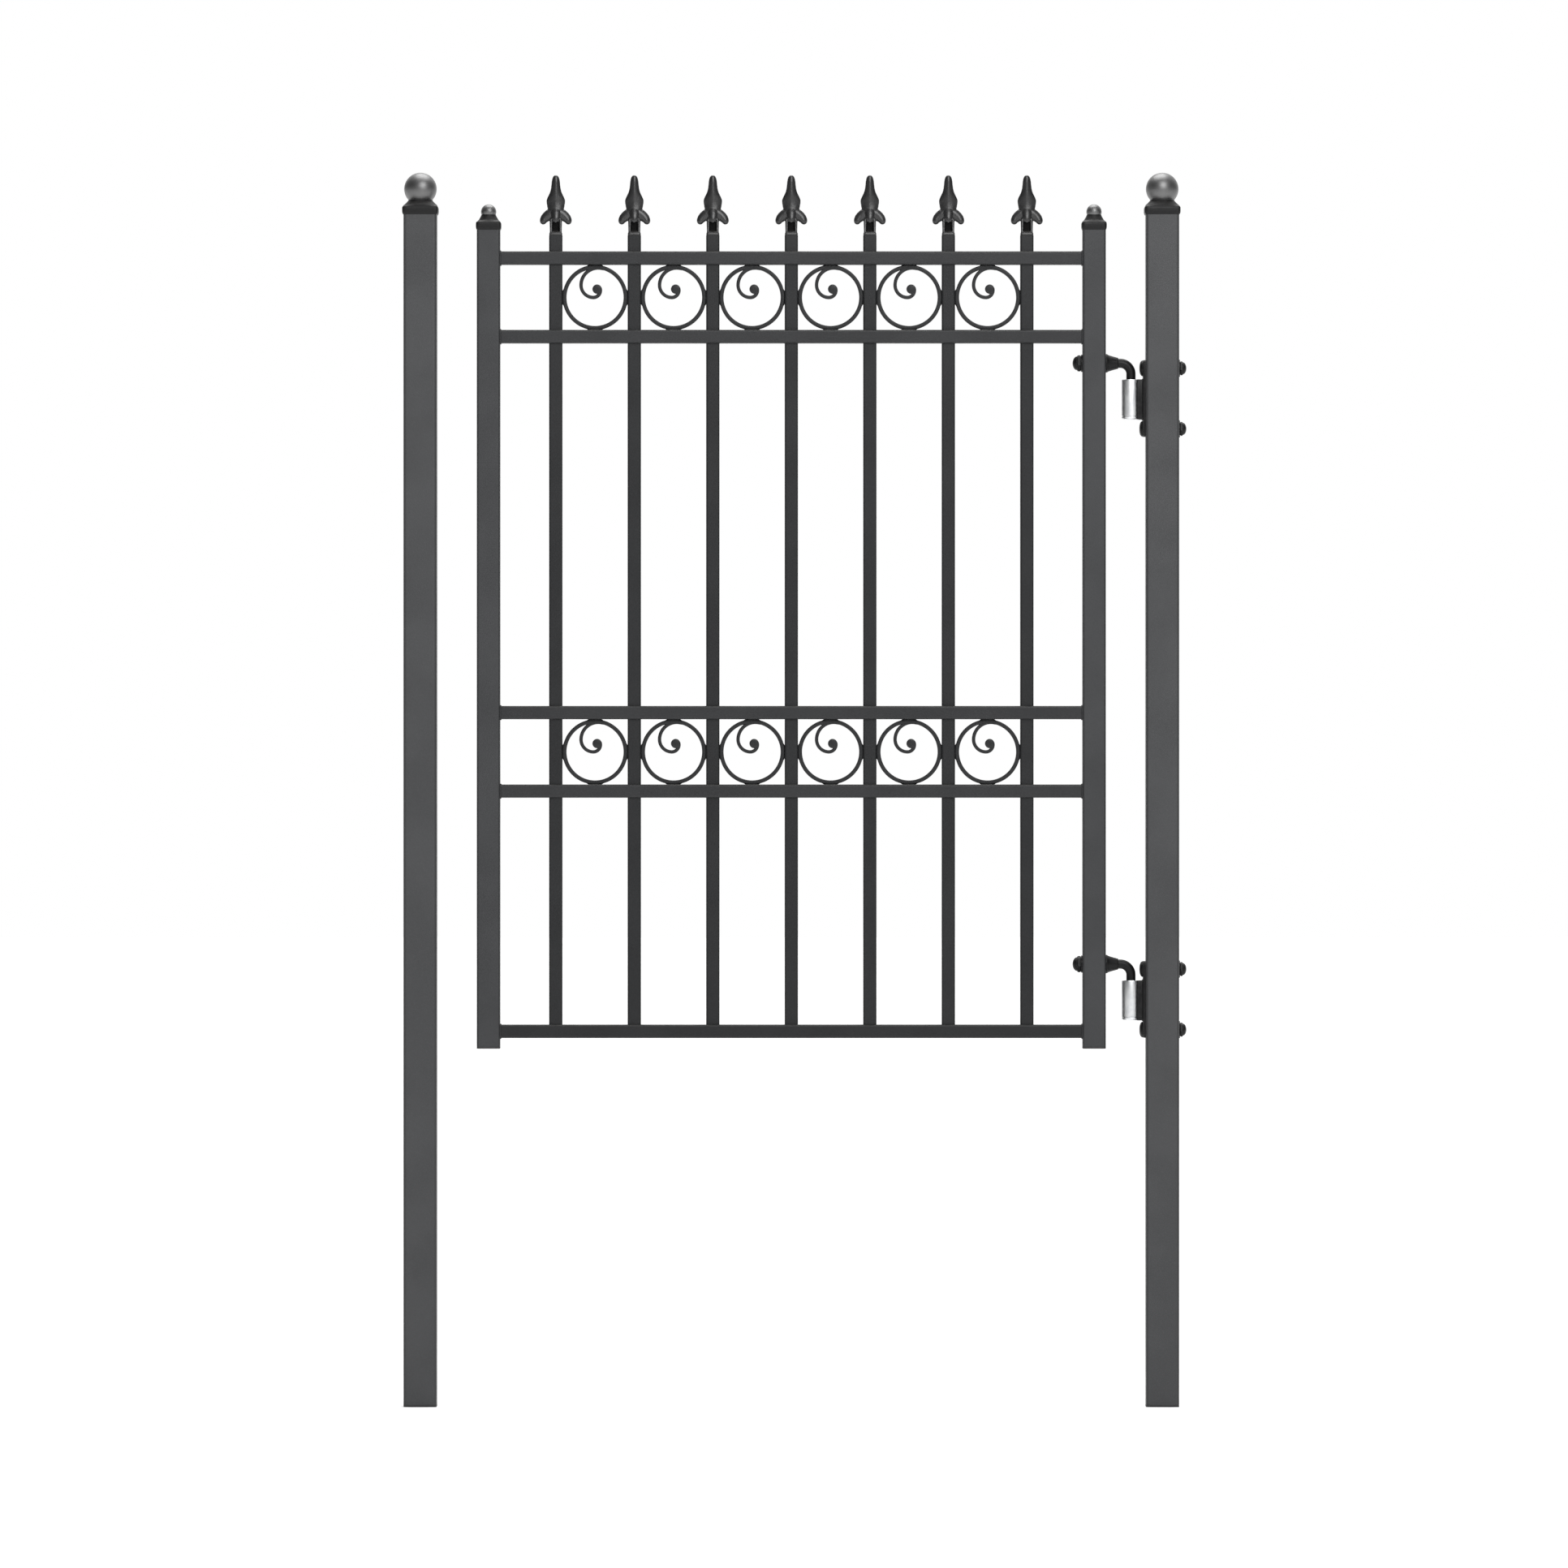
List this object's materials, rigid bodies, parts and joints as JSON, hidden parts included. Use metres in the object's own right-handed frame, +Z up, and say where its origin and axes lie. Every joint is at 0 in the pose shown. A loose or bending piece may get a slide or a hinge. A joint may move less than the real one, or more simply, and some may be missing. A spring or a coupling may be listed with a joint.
{
  "type": "ornamental garden gate",
  "caption": "Upright metal garden gate: a barred leaf with two bands of scroll rings and spear finials, hung by lift-off hook hinges between two square posts with ball caps.",
  "frame": {"origin": "midway between the two posts, level with the underside of their foot plugs", "axes": "+X along the gate towards the hinge side, +Y through the gate away from the front, +Z up along the posts"},
  "size_m": [1.1783, 0.054, 1.8545],
  "materials": {
    "post_powder_coat": "satin anthracite powder coat on square steel tube",
    "leaf_powder_coat": "satin anthracite powder coat",
    "ring_powder_coat": "satin anthracite powder coat on rolled flat bar",
    "gloss_black_caps": "glossy black paint",
    "gloss_black_finials": "glossy black paint on cast iron",
    "black_hardware": "glossy black coated steel",
    "zinc": "bright zinc plating",
    "black_plastic": "matt black polyethylene",
    "white_nylon": "plain white nylon"
  },
  "bodies": {
    "posts": {"post_latch_side": "post_powder_coat", "post_cap_latch_side": "gloss_black_caps", "post_foot_plug_latch_side": "black_plastic", "post_hinge_side": "post_powder_coat", "post_cap_hinge_side": "gloss_black_caps", "post_foot_plug_hinge_side": "black_plastic", "hinge_barrel_lower": "zinc", "hinge_barrel_upper": "zinc", "hinge_bracket_lower": "black_hardware", "hinge_bracket_upper": "black_hardware", "bracket_bolts": "black_hardware", "bracket_washers": "black_hardware", "bracket_dome_nuts": "black_hardware"},
    "thrust_pads": {"thrust_pads": "white_nylon"},
    "gate_leaf": {"stile_latch_side": "leaf_powder_coat", "stile_cap_latch_side": "gloss_black_caps", "stile_foot_plug_latch_side": "black_plastic", "stile_hinge_side": "leaf_powder_coat", "stile_cap_hinge_side": "gloss_black_caps", "stile_foot_plug_hinge_side": "black_plastic", "rail_bottom": "leaf_powder_coat", "rail_middle_lower": "leaf_powder_coat", "rail_middle_upper": "leaf_powder_coat", "rail_top_lower": "leaf_powder_coat", "rail_top_upper": "leaf_powder_coat", "bar_1": "leaf_powder_coat", "bar_2": "leaf_powder_coat", "bar_3": "leaf_powder_coat", "bar_4": "leaf_powder_coat", "bar_5": "leaf_powder_coat", "bar_6": "leaf_powder_coat", "bar_7": "leaf_powder_coat", "spear_finial_1": "gloss_black_finials", "spear_finial_2": "gloss_black_finials", "spear_finial_3": "gloss_black_finials", "spear_finial_4": "gloss_black_finials", "spear_finial_5": "gloss_black_finials", "spear_finial_6": "gloss_black_finials", "spear_finial_7": "gloss_black_finials", "scroll_ring_middle_1": "ring_powder_coat", "scroll_ring_middle_2": "ring_powder_coat", "scroll_ring_middle_3": "ring_powder_coat", "scroll_ring_middle_4": "ring_powder_coat", "scroll_ring_middle_5": "ring_powder_coat", "scroll_ring_middle_6": "ring_powder_coat", "scroll_ring_top_1": "ring_powder_coat", "scroll_ring_top_2": "ring_powder_coat", "scroll_ring_top_3": "ring_powder_coat", "scroll_ring_top_4": "ring_powder_coat", "scroll_ring_top_5": "ring_powder_coat", "scroll_ring_top_6": "ring_powder_coat", "hook_bolt_lower": "black_hardware", "hook_bolt_upper": "black_hardware", "hook_dome_nuts": "black_hardware", "hook_washers": "black_hardware", "hook_cone_nuts": "black_hardware"}
  },
  "joints": [
    {"name": "gate_swing", "type": "hinge", "parent": "posts", "child": "thrust_pads", "pos_m": [0.5105, 0, 0], "axis": [0, 0, 1], "range_deg": [-100, 100]},
    {"name": "gate_lift", "type": "slide", "parent": "thrust_pads", "child": "gate_leaf", "axis": [0, 0, 1], "range_m": [0, 0.055]}
  ]
}
